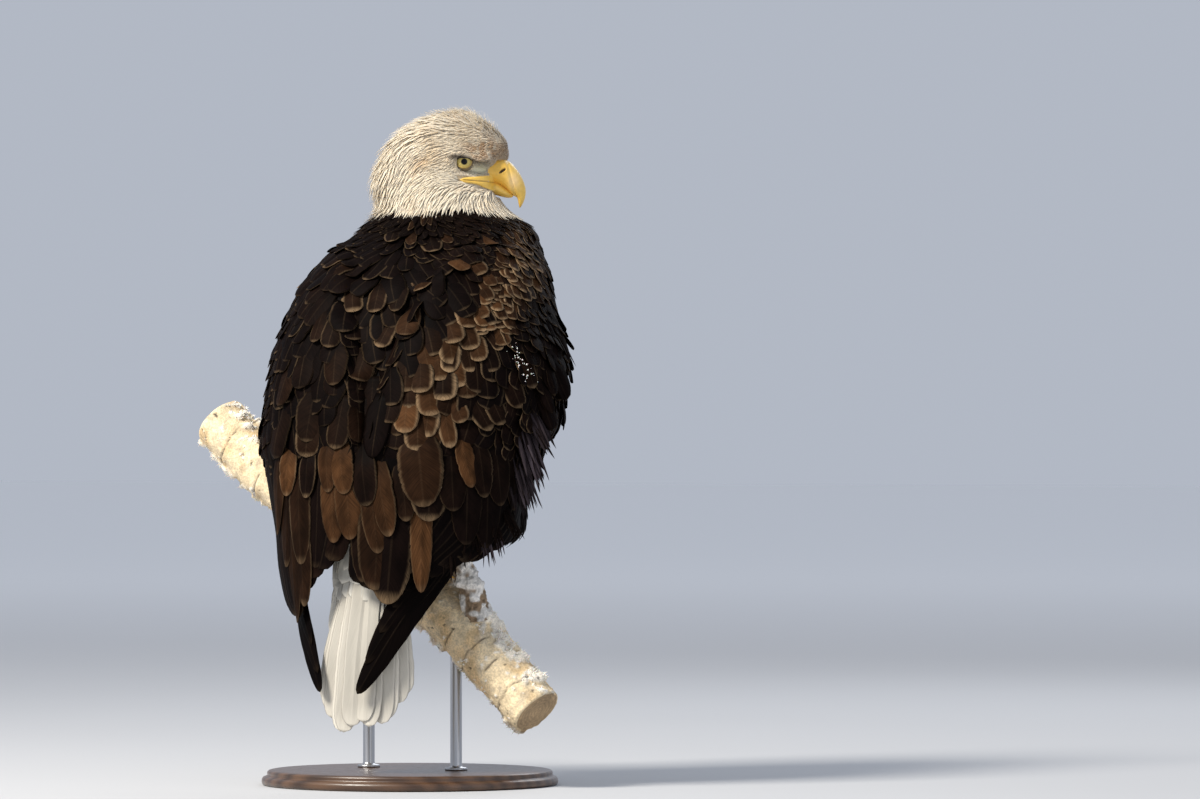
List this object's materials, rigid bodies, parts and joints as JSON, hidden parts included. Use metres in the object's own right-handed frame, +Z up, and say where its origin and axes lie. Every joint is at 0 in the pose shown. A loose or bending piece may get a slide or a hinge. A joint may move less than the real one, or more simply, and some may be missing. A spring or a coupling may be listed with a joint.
{
  "type": "perched bald eagle display model",
  "caption": "Life-size bald eagle seen from behind with its head turned in right profile, gripping a frosted cut branch on a plain round display stand.",
  "frame": {"origin": "centre of the underside of the display stand's base", "axes": "+Z up; +Y the way the bird's body faces; +X to the bird's right"},
  "size_m": [0.5127, 0.3755, 0.811],
  "materials": {
    "white_plumage": "matte",
    "dark_plumage": "matte",
    "bill_horn": "satin",
    "foot_skin": "satin",
    "claw_horn": "satin",
    "eye_ball": "polished",
    "frosted_bark": "matte",
    "stand_wood": "satin",
    "stand_steel": "satin"
  },
  "bodies": {
    "root": {"head": "white_plumage", "neck": "white_plumage", "trunk": "dark_plumage", "wing_left": "dark_plumage", "secondaries_left": "dark_plumage", "primaries_left": "dark_plumage", "thigh_left": "dark_plumage", "tarsus_left": "foot_skin", "toe_inner_left": "foot_skin", "claw_inner_left": "claw_horn", "toe_middle_left": "foot_skin", "claw_middle_left": "claw_horn", "toe_outer_left": "foot_skin", "claw_outer_left": "claw_horn", "toe_hind_left": "foot_skin", "claw_hind_left": "claw_horn", "eye_left": "eye_ball", "wing_right": "dark_plumage", "secondaries_right": "dark_plumage", "primaries_right": "dark_plumage", "thigh_right": "dark_plumage", "tarsus_right": "foot_skin", "toe_inner_right": "foot_skin", "claw_inner_right": "claw_horn", "toe_middle_right": "foot_skin", "claw_middle_right": "claw_horn", "toe_outer_right": "foot_skin", "claw_outer_right": "claw_horn", "toe_hind_right": "foot_skin", "claw_hind_right": "claw_horn", "eye_right": "eye_ball", "tail_coverts": "white_plumage", "tail": "white_plumage", "bill_upper": "bill_horn", "bill_lower": "bill_horn", "perch": "frosted_bark", "stand_base": "stand_wood", "stand_rod_1": "stand_steel", "stand_rod_2": "stand_steel"}
  },
  "joints": []
}
